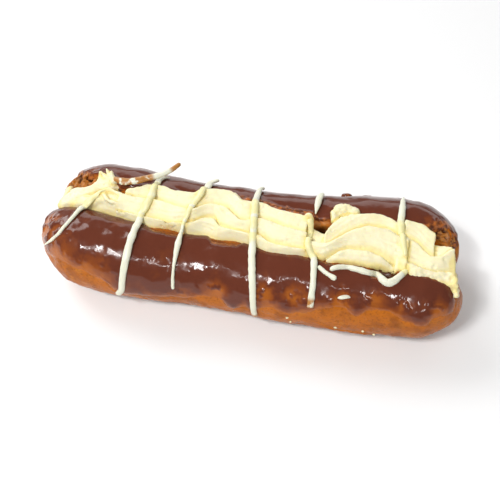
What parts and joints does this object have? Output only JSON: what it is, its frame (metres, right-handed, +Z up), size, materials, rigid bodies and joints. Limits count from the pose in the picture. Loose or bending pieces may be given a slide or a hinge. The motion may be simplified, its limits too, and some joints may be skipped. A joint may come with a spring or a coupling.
{
  "type": "chocolate eclair",
  "caption": "Choux finger slit along its top and opened, filled with piped cream, with chocolate icing on both halves and white icing strands across.",
  "frame": {"origin": "centre of the part's box, at the height of the surface it rests on", "axes": "+X along the finger, -Y towards the front half, +Z up"},
  "size_m": [0.169, 0.0654, 0.0378],
  "materials": {
    "choux": "baked golden-brown choux pastry, satin",
    "cream": "soft pale yellow whipped cream",
    "chocolate": "glossy milk-chocolate icing",
    "white_icing": "set white icing, satin"
  },
  "bodies": {
    "root": {"choux": "choux", "cream": "cream", "icing_front": "chocolate", "icing_back": "chocolate", "white_strand_1": "white_icing", "white_strand_2": "white_icing", "white_strand_3": "white_icing", "white_strand_4": "white_icing", "white_strand_5": "white_icing", "white_strand_6": "white_icing", "white_strand_7": "white_icing", "white_strand_8": "white_icing", "white_strand_raised": "white_icing"}
  },
  "joints": []
}
